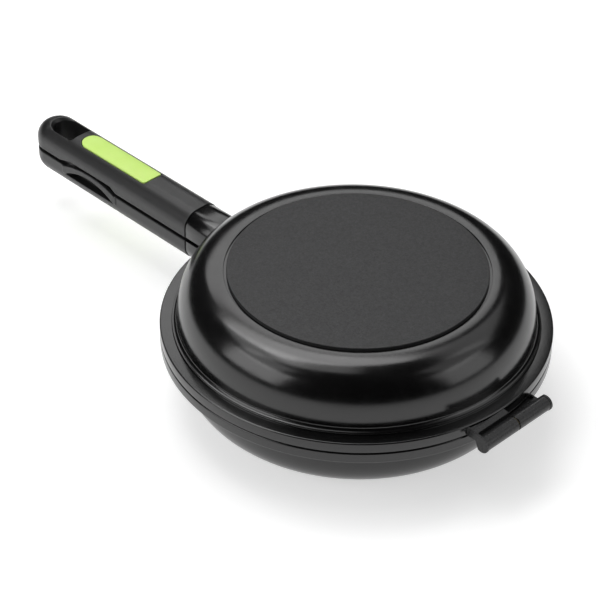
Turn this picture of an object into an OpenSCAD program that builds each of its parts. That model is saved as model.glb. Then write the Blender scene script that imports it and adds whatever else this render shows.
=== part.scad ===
// Double sided flip pan: two equal shallow pans joined mouth to mouth by a pin hinge,
// each with one half of a long split handle. All sizes are in millimetres.
//
// Frame: the origin is the centre of the lower base, on the table. +Z is up, the handle
// runs along -X and the hinge is at +X, with its axis along Y in the seam between the pans.
//
// Half frame: every piece of a pan is drawn once, with z = 0 in the seam and +z pointing
// from the seam to the base of that pan. upper_half() lifts a piece drawn so to the upper
// pan, and lower_half() turns it over about the X axis, as the real castings are turned.

/* [Pans] */
// Height of one pan, from the seam to the foot of its base disc
pan_h = 48.5; // [46:0.5:56]
// Outer radius of the rim flange
rim_r = 131; // [130:0.5:136]
// Outer radius of the side wall, at its foot
wall_r = 119.5; // [117:0.5:120.5]
// Height of the upright part of the side wall, above the cove at its foot
wall_h = 0.1; // [0:0.1:6]
// Fullness of the shoulder: 2 gives an ellipse, and more gives a squarer curve
shoulder_full = 2.2; // [2:0.05:2.3]
// Thickness of the side wall
wall_t = 3.5; // [2.5:0.1:5]
// Thickness of the cast floor
floor_t = 5.5; // [4.5:0.1:7]
// Bevel of the mouth of the pan, in the seam face
mouth_break = 1; // [0.5:0.1:1.5]
// Height of the rim flange above the seam
rim_t = 7.75; // [7:0.25:9]
// Rounding of the outer edges of the rim flange
rim_edge_r = 1; // [0.4:0.1:1.6]
// Width of the flat ledge on top of the rim flange
ledge_w = 8.2; // [6:0.2:9]
// Height of the bead that stands above the ledge
bead_h = 1.5; // [0.8:0.1:2]
// Width of the land on top of the bead
bead_w = 0.5; // [0.3:0.1:1]
// Gap between the two rim flanges when the pan is shut
seam_gap = 0.4; // [0.3:0.1:0.8]
// Distance of the drip channel in the seam face from the outside of the rim
channel_in = 11; // [10.5:0.25:12]
// Width of the drip channel
channel_w = 2.4; // [1.5:0.1:3]
// Depth of the drip channel
channel_d = 1.2; // [0.6:0.1:1.6]

/* [Base discs] */
// Radius of the base disc
disc_r = 86.5; // [84:0.5:90]
// Thickness of the base disc
disc_t = 2.6; // [2.4:0.1:4]
// How far the base disc stands out of the casting
disc_proud = 1.7; // [1:0.1:2.2]
// Width of the groove round the base disc
groove_w = 1.8; // [1:0.1:2.5]
// Depth of the groove round the base disc
groove_d = 0.8; // [0.4:0.1:1.2]
// Width of the flat ring between the groove and the shoulder
base_rim_w = 3; // [1:0.5:4]
// Rounding of the edge of the base disc
disc_edge_r = 0.5; // [0.2:0.1:0.8]

/* [Handle] */
// Visible length of the ferrule, from the rim to the grip
ferrule_len = 21; // [18:1:36]
// Gap between the ferrule and the rim
rim_clear = 0.4; // [0.2:0.1:0.8]
// How much smaller the ferrule is than the grip, all round
ferrule_step = 0.4; // [0.2:0.1:0.8]
// Length of the grip
grip_len = 172.3; // [165:0.1:190]
// Height of the top of the grip above the seam
grip_h = 19.8; // [19:0.1:22]
// Rounding of the sides of the grip
grip_side_r = 12.2; // [10.8:0.1:13]
// Width of the flat along the top of the grip
grip_flat = 7.6; // [7:0.2:12]
// Gap between the two halves of the handle
handle_gap = 2.8; // [1:0.1:3]
// Bevel of the edges along that gap
edge_break = 0.5; // [0.3:0.1:1.2]
// Gap between ferrule and grip
joint_gap = 0.8; // [0.3:0.1:1]

/* [Hanging hole] */
// Radius of the round outer end of the hanging hole, half the width of the hole
hole_r = 9.65; // [7:0.05:10]
// Corner radius of the inner end of the hole
hole_corner_r = 2.5; // [1:0.1:4]
// Solid plastic between the hole and the tip
hole_tip = 14.85; // [12:0.05:18]
// Length of the hole along its middle
hole_len = 27.15; // [22:0.05:30]
// Depth of the bevel round the outer end of the hole
hole_bevel = 2.2; // [1.6:0.1:2.6]
// Plastic bridge between the hole and the inlay
bridge_w = 5.6; // [4:0.1:9]

/* [Soft inlay] */
// Length of the coloured inlay
inlay_len = 74.5; // [60:0.5:80]
// Width of the inlay
inlay_w = 17; // [14:0.5:19]
// Corner radius of its inner end
inlay_corner_r = 3; // [1.5:0.5:5]
// Thickness of the inlay
inlay_t = 2.2; // [1.6:0.1:2.8]
// How far the inlay stands out of the grip
inlay_proud = 0.3; // [0.1:0.1:0.6]
// Gap round the inlay
inlay_gap = 0.5; // [0.1:0.05:0.6]

/* [Tab and scoop] */
// Length of the finger scoop in the side of the grip
scoop_len = 56; // [44:1:58]
// Height of the scoop, from its straight edge to the crown of its arch
scoop_h = 8.1; // [7:0.1:8.4]
// Height of the straight edge of the scoop above the seam
scoop_z = 8.5; // [8.4:0.1:9.4]
// Depth of the scoop
scoop_d = 6; // [3:0.5:6.5]
// Distance of the scoop's middle from the tip
scoop_in = 68; // [64:1:80]
// Slope of the roof of the scoop, in degrees
scoop_slope = 30; // [26:1:34]
// Length of the arched brow over the scoop
tab_len = 60; // [50:1:62]
// Length of the part of the brow that stands past the face of its half
tab_span = 56; // [40:1:58]
// How far the brow reaches past the seam, as a locating tab
tab_reach = 3.6; // [1:0.1:4]
// Thickness of the brow
tab_t = 3.5; // [3:0.25:4]
// How far the brow stands out of the side of the grip
lip_t = 0.7; // [0.4:0.1:1.2]
// Clearance round the tab in the other half
tab_clear = 1.4; // [0.5:0.1:1.8]
// Clearance behind the tab, towards the middle of the grip
tab_side_clear = 0.8; // [0.5:0.1:1.2]
// Reach of the notch for the tab, from the scoop's middle towards the tip
notch_out = 33.5; // [31:0.5:36]
// Length of its slope towards the tip
notch_out_slope = 13; // [6:0.5:14]
// Reach of the notch, from the scoop's middle towards the pan
notch_in = 29.7; // [29:0.1:34]
// Length of its slope towards the pan
notch_in_slope = 6.4; // [3:0.1:8]

/* [Tie rod] */
// Diameter of the rod that clamps the handle to the pan
rod_d = 5; // [4:0.5:6]
// Height of the rod above the seam
rod_z = 9.5; // [9:0.25:10.5]
// Diameter of the rod's head
rod_head_d = 10; // [8:0.5:11]
// Thickness of the head
rod_head_t = 3; // [2:0.25:4]
// Thickness of the washer under the head
rod_washer_t = 0.8; // [0.5:0.1:1.2]
// How much wider than the head the washer is, on the radius
rod_washer_rim = 0.3; // [0:0.1:0.5]
// Clearance of the rod in the handle, on the radius
rod_clear = 0.3; // [0.15:0.05:0.5]
// Clearance of the head and its washer in their pocket
head_clear = 0.6; // [0.3:0.1:1]
// Width of the slot in the head
slot_w = 1.4; // [0.8:0.1:2]
// Depth of the slot in the head
slot_d = 1.5; // [0.8:0.1:1.8]
// Depth of the threaded bore in the lug of the pan
rod_grip_len = 20; // [14:1:24]
// Free depth of that bore past the end of the rod
rod_end_gap = 1; // [0.5:0.5:3]

/* [Lug] */
// Width of the cast lug that carries the handle
lug_w = 18; // [14:0.5:20]
// Height of the lug
lug_h = 12; // [10:0.5:13]
// How far the lug reaches past the rim
lug_reach = 17; // [12:1:17]
// Rounding of the edges of the lug
lug_edge_r = 2; // [1:0.5:4]
// Clearance of the lug in the ferrule
lug_clear = 0.15; // [0.05:0.05:0.4]

/* [Magnets] */
// Diameter of the closing magnet in each half of the handle
magnet_d = 12; // [8:0.5:14]
// Thickness of the magnet
magnet_t = 3; // [2:0.25:3.5]
// Distance of the magnet from the inner end of the grip
magnet_in = 23; // [14:1:40]
// Clearance of the magnet in its pocket
magnet_clear = 0.05; // [0.03:0.01:0.2]

/* [Hinge] */
// Distance of the hinge axis from the outside of the rim
hinge_reach = 9.25; // [8.75:0.25:11]
// Outer radius of the hinge barrel
barrel_r = 5.2; // [4.6:0.1:6]
// Length of one knuckle
knuckle_len = 31; // [26:1:34]
// Bevel of the inner end of the barrel
barrel_break = 0.3; // [0.1:0.1:0.6]
// How much deeper the leaf stands in the barrel than its surface
leaf_root = 0.2; // [0.1:0.1:0.4]
// Radius of the hinge pin
pin_r = 2.4; // [2:0.1:2.8]
// Bevel of the ends of the pin
pin_break = 0.4; // [0.2:0.1:0.6]
// Running clearance of the pin, on the radius
pin_fit = 0.05; // [0.03:0.01:0.1]
// Solid end of each knuckle past the pin
blind_end = 3.5; // [2.5:0.5:5]
// Thickness of the washer between the knuckles
hinge_washer_t = 0.8; // [0.5:0.1:1.2]
// Axial play on each side of that washer
hinge_play = 0.05; // [0.03:0.01:0.15]
// How much smaller than the barrel the washer is, on the radius
hinge_washer_in = 0.9; // [0.2:0.1:1.5]
// Height of the leaf above the seam at the rim
leaf_h = 7; // [6:0.25:7.5]
// Width of the flat top of the leaf
leaf_w = 4.1; // [3:0.1:4.2]
// Fall of that flat towards the barrel
leaf_fall = 0.8; // [0.2:0.1:1.5]
// Gap between the leaf and the rim
leaf_gap = 0.2; // [0.1:0.05:0.4]
// Height of the underside of the leaf above the seam at the rim
leaf_z = 0.8; // [0.6:0.1:1.5]
// Height of the bottom of the step between the leaf and the barrel
leaf_valley = 3; // [2.6:0.1:3.2]
// Thickness of the plate that closes the outer end of the knuckle
plate_t = 1.5; // [1:0.1:2.5]
// How far that plate follows the round rim inwards
plate_in = 7.5; // [4:0.5:9]
// How much larger than the barrel the round end of the plate is, on the radius
plate_rim = 0.3; // [0.2:0.05:0.6]
// How far the plate reaches round the barrel past its lowest point, in degrees
plate_wrap = 30; // [10:5:60]
// Thickness of the tongue that sits in the rim
tongue_t = 3; // [2.2:0.1:3.4]
// Height of the middle of the tongue above the seam
tongue_z = 4.1; // [3.9:0.1:4.4]
// Depth of the tongue in the rim
tongue_in = 7.5; // [6.5:0.25:8]
// How much shorter the tongue is than the knuckle, at each end
tongue_inset = 2.5; // [1.5:0.5:4]
// Clearance of the tongue in its slot
tongue_clear = 0.05; // [0.02:0.01:0.1]
// Diameter of the two screws that hold the tongue
screw_d = 3; // [2.5:0.1:3.5]
// Diameter of the countersunk screw heads
screw_head_d = 5.2; // [4.8:0.1:5.4]
// Solid tongue over the end of each screw
screw_cover = 0.3; // [0.2:0.1:0.6]
// Distance of the screws from the ends of the knuckle
screw_in = 10; // [8:0.5:10.5]
// Distance of the screws from the outside of the rim
screw_rim = 5.35; // [4.6:0.05:5.6]

/* [Hidden] */

$fn = 96;
// Segments of a drawn quarter circle in the profiles
arc_n = 16;
// Segments of the shoulder of the pan, outside and inside
shoulder_n = 26;
inside_n = 18;
// Segments of the large circles that bound the brow and the scoop
arch_n = 240;
// Overlap that lets cuts pass cleanly through a face
eps = 0.5;
// Longer than anything that is cut through
far = 60;

// Pan, derived
face_z = seam_gap / 2;
base_z = pan_h - disc_proud;
seat_z = pan_h - disc_t;
floor_z = base_z - floor_t;
bead_r = rim_r - ledge_w;
bead_z = rim_t + bead_h;
cove_r = bead_r - bead_w - wall_r;
inner_r = wall_r - wall_t;
// The shoulder is a quarter of a full ellipse, from the wall to the flat ring of the base
shoulder_c = disc_r + groove_w + base_rim_w;
shoulder_z = bead_z + cove_r + wall_h;

// Handle, derived
handle_face = handle_gap / 2;
grip_mid_z = grip_h - grip_side_r;
grip_half_w = grip_flat / 2 + grip_side_r;
ferrule_x = rim_r + rim_clear + ferrule_len;
grip_x = ferrule_x + joint_gap;
tip_x = grip_x + grip_len;
tip_c = tip_x - grip_half_w;
hole_x = tip_x - hole_tip - hole_r;
hole_end_x = tip_x - hole_tip - hole_len;
inlay_r = inlay_w / 2;
inlay_x = hole_end_x - bridge_w - inlay_r;
inlay_end_x = inlay_x + inlay_r - inlay_len;
inlay_floor_z = grip_h + inlay_proud - inlay_t;
scoop_x = tip_x - scoop_in;
// Radius of the arch over the scoop, and of the crest of the brow
scoop_r = chord_r(scoop_len, scoop_h * cos(scoop_slope));
tab_r = chord_r(tab_span, tab_reach + handle_face);
tab_y = grip_half_w + lip_t;

// Tie rod, derived
head_r = rod_head_d / 2;
head_pocket_x = hole_end_x - rod_head_t - rod_washer_t - head_clear;
lug_x = rim_r + lug_reach;

// Hinge, derived
hinge_x = rim_r + hinge_reach;
knuckle_y = hinge_washer_t / 2 + hinge_play;
// Where barrel and leaf end, in the middle of the end plate
plate_y = knuckle_len - plate_t / 2;
pin_y = knuckle_len - blind_end;
screw_x = rim_r - screw_rim;
screw_y = [knuckle_y + screw_in, knuckle_len - screw_in];

// Radius of an arc from the length of its chord and its height
function chord_r(chord, height) = (pow(chord / 2, 2) + pow(height, 2)) / (2 * height);

// Points of a quarter of the shoulder's curve round centre c, with half axes a and b,
// counted from the first axis when up is true and back to it when up is false
function quarter(c, a, b, up, n) =
    [for (i = [0:n]) let (t = 90 * (up ? i : n - i) / n, e = 2 / shoulder_full)
        c + [a * pow(cos(t), e), b * pow(sin(t), e)]];

// Points of an arc from angle a to angle b, round centre c
function arc(c, r, a, b, n = arc_n) =
    [for (i = [0:n]) c + r * [cos(a + (b - a) * i / n), sin(a + (b - a) * i / n)]];

// The same points in reverse order
function reversed(p) = [for (i = [len(p) - 1:-1:0]) p[i]];

module upper_half() translate([0, 0, pan_h]) children();
module lower_half() translate([0, 0, pan_h]) rotate([180, 0, 0]) children();

// ---------------------------------------------------------------- pan casting

// Radial section of the casting, as [radius, height above the seam]
function pan_section() = concat(
    [[inner_r + mouth_break, face_z]],
    arc([rim_r - rim_edge_r, face_z + rim_edge_r], rim_edge_r, -90, 0, 5),
    arc([rim_r - rim_edge_r, rim_t - rim_edge_r], rim_edge_r, 0, 90, 5),
    [[bead_r, rim_t], [bead_r, bead_z - bead_w / 2], [bead_r - bead_w / 2, bead_z]],
    arc([bead_r - bead_w, bead_z + cove_r], cove_r, 270, 180, 6),
    quarter([shoulder_c, shoulder_z], wall_r - shoulder_c, base_z - shoulder_z, true, shoulder_n),
    [[disc_r + groove_w, base_z], [disc_r + groove_w, base_z - groove_d],
     [disc_r, base_z - groove_d], [disc_r, seat_z], [0, seat_z], [0, floor_z]],
    quarter([shoulder_c, shoulder_z], inner_r - shoulder_c, floor_z - shoulder_z, false, inside_n),
    [[inner_r, face_z + mouth_break]]);

module pan() {
    difference() {
        union() {
            rotate_extrude() polygon(pan_section());
            lug();
        }
        // drip channel in the seam face
        rotate_extrude() translate([rim_r - channel_in - channel_w / 2, face_z - eps])
            square([channel_w, channel_d + eps]);
        // slot for the tongue of the hinge
        tongue(tongue_clear);
        for (y = screw_y) translate([screw_x, -y, 0]) screw(tongue_clear);
        // threaded bore for the tie rod
        translate([-lug_x - eps, 0, rod_z]) rotate([0, 90, 0])
            cylinder(d = rod_d, h = rod_grip_len + eps);
    }
}

// Cast lug that runs out of the side wall into the ferrule
module lug(grow = 0) {
    start = wall_r - wall_t / 2;
    y = lug_w / 2 - lug_edge_r;
    z = lug_h / 2 - lug_edge_r;
    r = lug_edge_r + grow;
    translate([-lug_x - grow, 0, rod_z]) rotate([90, 0, 90])
        linear_extrude(lug_x + grow - start) polygon(concat(arc([y, z], r, 0, 90, 5),
            arc([-y, z], r, 90, 180, 5), arc([-y, -z], r, 180, 270, 5), arc([y, -z], r, 270, 360, 5)));
}

// Base disc, with a softened outer edge
module base_disc() rotate_extrude() polygon(concat([[0, seat_z], [disc_r, seat_z]],
    arc([disc_r - disc_edge_r, pan_h - disc_edge_r], disc_edge_r, 0, 90, 4), [[0, pan_h]]));

// ---------------------------------------------------------------- handle

// Right hand side of the handle's section, as [distance from the middle, height]: upright
// from the bevel at the seam face, then round to the flat along the top
function handle_side(grow = 0) =
    concat([[grip_half_w + grow - edge_break, handle_face],
            [grip_half_w + grow, handle_face + edge_break]],
           arc([grip_flat / 2, grip_mid_z], grip_side_r + grow, 0, 90, 20));

function mirrored(p) = [for (q = reversed(p)) [-q[0], q[1]]];

// A length of the handle's section, from x1 out to x2
module handle_bar(x1, x2, grow = 0) {
    side = handle_side(grow);
    translate([-x2, 0, 0]) rotate([90, 0, 90]) linear_extrude(x2 - x1)
        polygon(concat(side, mirrored(side)));
}

// The same section turned through half a circle, which rounds off the tip
module handle_tip(grow = 0) {
    side = handle_side(grow);
    translate([-tip_c, 0, 0]) rotate([0, 0, 90]) rotate_extrude(angle = 180)
        polygon(concat([[0, handle_face]], side, [[0, grip_mid_z + grip_side_r + grow]]));
}

module ferrule() {
    difference() {
        handle_bar(wall_r, ferrule_x, -ferrule_step);
        // hollow that fits over the lug
        lug(lug_clear);
        // fits round the rim flange, and over it as far as the bead
        translate([0, 0, -far]) cylinder(r = rim_r + rim_clear, h = far + rim_t + rim_clear);
        translate([0, 0, -far]) cylinder(r = bead_r + rim_clear, h = 2 * far);
        rod_bore(ferrule_x + eps);
    }
}

// Bore for the tie rod, from the rim out to x
module rod_bore(x) {
    translate([-x, 0, rod_z]) rotate([0, 90, 0]) cylinder(d = rod_d + 2 * rod_clear, h = x - rim_r);
}

module grip() {
    difference() {
        union() {
            handle_bar(grip_x, tip_c);
            handle_tip();
            tab();
        }
        hanging_hole();
        inlay_prism(inlay_gap, inlay_floor_z);
        rod_bore(hole_end_x);
        // pocket for the head of the rod, open to the hanging hole
        translate([-hole_end_x - hole_corner_r, 0, rod_z]) rotate([0, 90, 0])
            cylinder(r = head_r + head_clear, h = hole_end_x + hole_corner_r - head_pocket_x);
        magnet_body(magnet_clear, eps);
        scoop();
        notch();
    }
}

// Hanging hole: a round outer end, straight sides and a flat inner end with round corners.
// Its upper edge has a bevel of constant height along the sides and round the outer end.
module hanging_hole() {
    y = hole_r - hole_corner_r;
    corner_x = -hole_end_x - hole_corner_r;
    bevel_z = grip_h - hole_bevel;
    translate([-hole_x, 0, -far]) cylinder(r = hole_r, h = 2 * far);
    translate([0, 0, -far]) linear_extrude(2 * far) polygon(concat(
        [[-hole_x, hole_r], [-hole_x, -hole_r]],
        arc([corner_x, -y], hole_corner_r, 270, 360, 6), arc([corner_x, y], hole_corner_r, 0, 90, 6)));
    translate([-hole_x, 0, bevel_z]) cylinder(r1 = hole_r, r2 = 2 * hole_r, h = hole_r);
    translate([-hole_x, 0, 0]) rotate([90, 0, 90]) linear_extrude(corner_x + hole_x)
        polygon([[-hole_r, bevel_z], [hole_r, bevel_z], [2 * hole_r, bevel_z + hole_r],
                 [-2 * hole_r, bevel_z + hole_r]]);
}

// Upright prism with the outline of the inlay
module inlay_prism(grow, z) {
    r = inlay_corner_r;
    end = -inlay_end_x + grow;
    translate([0, 0, z]) linear_extrude(far) polygon(concat(
        arc([-inlay_x, 0], inlay_r + grow, 90, 270, 20),
        arc([end - r, r - inlay_r - grow], r, 270, 360, 5),
        arc([end - r, inlay_r + grow - r], r, 0, 90, 5)));
}

// The inlay follows the crown of the grip and stands a little proud of it
module inlay() {
    intersection() {
        inlay_prism(0, inlay_floor_z);
        handle_bar(grip_x, tip_c, inlay_proud);
    }
}

// Finger scoop: arched towards the seam, straight towards the base. Its roof is a cylinder
// that leans inwards, so the roof grows thicker towards the middle of the grip
module scoop() {
    crown = scoop_z - scoop_h;
    intersection() {
        translate([-scoop_x, grip_half_w, crown]) rotate([90 - scoop_slope, 0, 0])
            translate([0, scoop_r, -far / 2]) cylinder(r = scoop_r, h = far, $fn = arch_n);
        translate([-scoop_x - scoop_len, grip_half_w - scoop_d, crown - scoop_h])
            cube([2 * scoop_len, far, 2 * scoop_h]);
    }
}

// Arched brow over the scoop: it stands out of the side of the grip and crosses the seam,
// where it locates the other half
module tab() {
    crest = -tab_reach;
    translate([0, tab_y, 0]) rotate([90, 0, 0]) linear_extrude(tab_t) intersection() {
        translate([-scoop_x, crest + tab_r]) circle(r = tab_r, $fn = arch_n);
        translate([-scoop_x - tab_len / 2, crest]) square([tab_len, grip_mid_z - crest]);
    }
}

// Recess that takes the tab of the other half
module notch() {
    top = tab_reach + tab_clear;
    wall_y = tab_y - tab_t - tab_side_clear;
    translate([-scoop_x, -wall_y, 0]) rotate([90, 0, 0]) linear_extrude(far)
        polygon([[-notch_out, -eps], [-notch_out, handle_face], [notch_out_slope - notch_out, top],
                 [notch_in - notch_in_slope, top], [notch_in, handle_face], [notch_in, -eps]]);
}

module tie_rod() {
    head_x = head_pocket_x + rod_washer_t;
    shank = head_x - lug_x + rod_grip_len - rod_end_gap;
    translate([0, 0, rod_z]) rotate([0, 90, 0]) difference() {
        union() {
            translate([0, 0, -head_x]) cylinder(d = rod_d, h = shank);
            translate([0, 0, -head_x - rod_head_t]) cylinder(r = head_r, h = rod_head_t);
        }
        translate([-far / 2, -slot_w / 2, -head_x - rod_head_t - eps])
            cube([far, slot_w, slot_d + eps]);
    }
}

module rod_washer() {
    translate([-head_pocket_x - rod_washer_t, 0, rod_z]) rotate([0, 90, 0]) difference() {
        cylinder(r = head_r + rod_washer_rim, h = rod_washer_t);
        translate([0, 0, -eps]) cylinder(r = rod_d / 2 + rod_clear, h = rod_washer_t + 2 * eps);
    }
}

module magnet_body(grow = 0, past = 0) {
    translate([-grip_x - magnet_in, 0, handle_face - past])
        cylinder(r = magnet_d / 2 + grow, h = magnet_t + past);
}

// ---------------------------------------------------------------- hinge

// Tongue of the leaf that sits in a slot in the rim
module tongue(grow = 0) {
    y1 = knuckle_len - tongue_inset + grow;
    y2 = knuckle_y + tongue_inset - grow;
    translate([rim_r - tongue_in - grow, -y1, tongue_z - tongue_t / 2 - grow])
        cube([tongue_in + leaf_w / 2, y1 - y2, tongue_t + 2 * grow]);
}

// One knuckle on the -y side: barrel, leaf, end plate and tongue
module hinge_knuckle(bore_r) {
    difference() {
        union() {
            translate([hinge_x, -knuckle_y, 0]) rotate([90, 0, 0]) barrel();
            leaf();
            end_plate();
            tongue();
        }
        translate([hinge_x, -knuckle_y + eps, 0]) rotate([90, 0, 0])
            cylinder(r = bore_r, h = pin_y - knuckle_y + eps);
        for (y = screw_y) translate([screw_x, -y, 0]) screw();
    }
}

// Barrel, which ends inside the end plate
module barrel() {
    cylinder(r1 = barrel_r - barrel_break, r2 = barrel_r, h = barrel_break);
    translate([0, 0, barrel_break]) cylinder(r = barrel_r, h = plate_y - knuckle_y - barrel_break);
}

// Leaf from the rim to the barrel: a flat top that ends in a step before the barrel, and an
// underside that keeps clear of the seam
module leaf() {
    r = barrel_r - leaf_root;
    x = rim_r + leaf_gap;
    end_x = x + leaf_w;
    root = [for (a = [90, 45, 0, -45, -90]) [hinge_x, 0] + r / 2 * [cos(a), sin(a)]];
    translate([0, -knuckle_y, 0]) rotate([90, 0, 0]) linear_extrude(plate_y - knuckle_y) polygon(concat(
        [[x, leaf_z], [x, leaf_h], [end_x - leaf_w / 4, leaf_h - leaf_fall / 2],
         [end_x, leaf_h - leaf_fall], [end_x + leaf_gap, leaf_valley],
         [hinge_x - sqrt(pow(r, 2) - pow(leaf_valley, 2)), leaf_valley]],
        root, [[hinge_x - r, -leaf_z], [hinge_x - r - leaf_gap, leaf_z]]));
}

// Plate that closes the outer end: it runs from the rim over the step, straight on to the
// barrel, and round the end of the barrel
module end_plate() {
    r = barrel_r + plate_rim;
    x = rim_r + leaf_gap;
    top_a = atan2(leaf_h, x - hinge_x) - acos(r / norm([hinge_x - x, leaf_h]));
    difference() {
        translate([0, plate_t - knuckle_len, 0]) rotate([90, 0, 0]) linear_extrude(plate_t)
            polygon(concat([[rim_r - plate_in, leaf_z], [rim_r - plate_in, leaf_h], [x, leaf_h]],
                arc([hinge_x, 0], r, top_a, -90 - plate_wrap, 20), [[hinge_x - barrel_r, leaf_z]]));
        translate([0, 0, -far]) cylinder(r = x, h = 2 * far);
    }
}

// Countersunk screw, from the seam face up into the tongue
module screw(grow = 0) {
    head_t = (screw_head_d - screw_d) / 2;
    top = tongue_z + tongue_t / 2 - screw_cover;
    translate([0, 0, face_z]) cylinder(d1 = screw_head_d + 2 * grow, d2 = screw_d + 2 * grow, h = head_t);
    translate([0, 0, face_z]) cylinder(d = screw_d + 2 * grow, h = top - face_z);
}

module hinge_screws() for (y = screw_y) translate([screw_x, -y, 0]) screw();

module pin() {
    top = pin_y - hinge_play;
    translate([hinge_x, 0, 0]) rotate([90, 0, 0]) rotate_extrude() polygon([
        [0, -pin_y], [pin_r - pin_break, -pin_y], [pin_r, pin_break - pin_y],
        [pin_r, top - pin_break], [pin_r - pin_break, top], [0, top]]);
}

module washer() {
    translate([hinge_x, hinge_washer_t / 2, 0]) rotate([90, 0, 0]) difference() {
        cylinder(r = barrel_r - hinge_washer_in, h = hinge_washer_t);
        translate([0, 0, -eps]) cylinder(r = pin_r + pin_fit, h = hinge_washer_t + 2 * eps);
    }
}

// ---------------------------------------------------------------- nodes

cast_colour = [0.13, 0.13, 0.14];
disc_colour = [0.27, 0.27, 0.28];
gloss_colour = [0.08, 0.08, 0.09];
grip_colour = [0.18, 0.18, 0.19];
inlay_colour = [0.76, 0.93, 0.42];
steel_colour = [0.72, 0.73, 0.75];

module lower_pan() color(cast_colour) lower_half() pan();
module upper_pan() color(cast_colour) upper_half() pan();
module lower_base_disc() color(disc_colour) lower_half() base_disc();
module upper_base_disc() color(disc_colour) upper_half() base_disc();
module lower_ferrule() color(gloss_colour) lower_half() ferrule();
module upper_ferrule() color(gloss_colour) upper_half() ferrule();
module lower_grip() color(grip_colour) lower_half() grip();
module upper_grip() color(grip_colour) upper_half() grip();
module lower_inlay() color(inlay_colour) lower_half() inlay();
module upper_inlay() color(inlay_colour) upper_half() inlay();
module lower_tie_rod() color(steel_colour) lower_half() tie_rod();
module upper_tie_rod() color(steel_colour) upper_half() tie_rod();
module lower_rod_washer() color(steel_colour) lower_half() rod_washer();
module upper_rod_washer() color(steel_colour) upper_half() rod_washer();
module lower_magnet() color(steel_colour) lower_half() magnet_body();
module upper_magnet() color(steel_colour) upper_half() magnet_body();
module lower_hinge_knuckle() color(disc_colour) lower_half() hinge_knuckle(pin_r);
module upper_hinge_knuckle() color(disc_colour) upper_half() hinge_knuckle(pin_r + pin_fit);
module lower_hinge_screws() color(steel_colour) lower_half() hinge_screws();
module upper_hinge_screws() color(steel_colour) upper_half() hinge_screws();
module hinge_pin() color(steel_colour) upper_half() pin();
module hinge_washer() color(steel_colour) upper_half() washer();

lower_pan();
lower_base_disc();
lower_ferrule();
lower_grip();
lower_inlay();
lower_tie_rod();
lower_rod_washer();
lower_magnet();
lower_hinge_knuckle();
lower_hinge_screws();
hinge_pin();
hinge_washer();
upper_pan();
upper_base_disc();
upper_ferrule();
upper_grip();
upper_inlay();
upper_tie_rod();
upper_rod_washer();
upper_magnet();
upper_hinge_knuckle();
upper_hinge_screws();
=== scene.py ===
"""Looks of the double sided flip pan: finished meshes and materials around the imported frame."""

import math

import bmesh
import bpy
from mathutils import Matrix, Vector

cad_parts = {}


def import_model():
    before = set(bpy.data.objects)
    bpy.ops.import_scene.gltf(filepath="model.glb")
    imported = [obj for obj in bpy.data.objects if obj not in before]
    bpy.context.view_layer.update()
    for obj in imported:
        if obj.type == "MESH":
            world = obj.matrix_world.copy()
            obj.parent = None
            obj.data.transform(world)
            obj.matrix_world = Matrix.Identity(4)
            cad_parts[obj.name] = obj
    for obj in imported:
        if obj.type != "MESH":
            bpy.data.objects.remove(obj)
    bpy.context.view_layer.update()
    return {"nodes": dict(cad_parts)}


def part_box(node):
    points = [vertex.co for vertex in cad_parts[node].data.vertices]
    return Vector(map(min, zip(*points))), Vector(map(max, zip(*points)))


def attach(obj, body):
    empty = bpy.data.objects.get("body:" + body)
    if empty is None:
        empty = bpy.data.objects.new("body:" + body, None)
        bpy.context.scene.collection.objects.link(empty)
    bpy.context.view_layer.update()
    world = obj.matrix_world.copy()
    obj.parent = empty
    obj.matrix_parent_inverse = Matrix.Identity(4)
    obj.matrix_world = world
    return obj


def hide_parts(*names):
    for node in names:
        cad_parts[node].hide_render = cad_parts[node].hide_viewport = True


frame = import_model()

MM = 0.001

# Frame: z = 0 is the table, the seam between the pans lies at SEAM. Every piece of a pan is
# modelled once in the half frame (z = 0 in the seam, +z towards the base of that pan) and is
# then placed twice, turned over about the X axis for the lower pan.
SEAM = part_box("upper_base_disc")[1][2] / 2

# Lengths are in metres. These are shared:
MERGE = 1e-7  # points closer than this are one point
NEAR = 5 * MM  # these three are for the ends of cutters, past what they cut
WIDE = 20 * MM
FAR = 30 * MM
SMALL_EDGE = 0.25 * MM  # rounding of the bead, the groove, the ferrule and the knuckle
SEAT_CLEAR = 0.05 * MM  # round the base disc, the tongue and the magnet
SHORT = 2  # degrees by which two arcs of the pan's section stay short of the flat beside them

# Sides of round pieces and cutters
PAN_SIDES = 256  # also of the base disc and of cutters that follow the rim or the bead
BARREL_SIDES = 96  # also of the handle's tip and the cone of the hanging hole
BORE_SIDES = 64  # also of the pockets and the screws
SCREW_HOLE_SIDES = 48
SCOOP_SIDES = 240

# How edges are rounded, in soften() and in bevel()
SMOOTH_FACTOR = 0.5
SMOOTH_STEPS = 2
BEVEL_STEPS = 2
BEVEL_ANGLE = math.radians(40)

# Pan casting
RIM_R = 131 * MM
WALL_R = 119.5 * MM
WALL_H = 0.1 * MM
WALL_T = 3.5 * MM
SHOULDER_FULL = 2.2  # exponent of the shoulder curve: 2 is an ellipse, more is squarer
FACE_Z = 0.2 * MM  # from the seam to the rim face
RIM_T = 7.75 * MM
RIM_EDGE = 1.0 * MM
LEDGE_W = 8.2 * MM  # from the rim's edge in to the bead
BEAD_H = 1.5 * MM
BEAD_W = 0.5 * MM
BEAD_FOOT = (0.2, 0.6)  # of SMALL_EDGE: a point that softens the foot of the bead
DISC_R = 86.5 * MM
DISC_T = 2.6 * MM
DISC_PROUD = 1.7 * MM  # by which the disc stands out of the base
DISC_EDGE = 0.5 * MM
DISC_RINGS = (0.9, 0.75, 0.5, 0.25)  # of its radius: rings of faces on the flat of the base disc
GROOVE_W = 1.8 * MM
GROOVE_D = 0.8 * MM
BASE_RIM_W = 3.0 * MM
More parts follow.
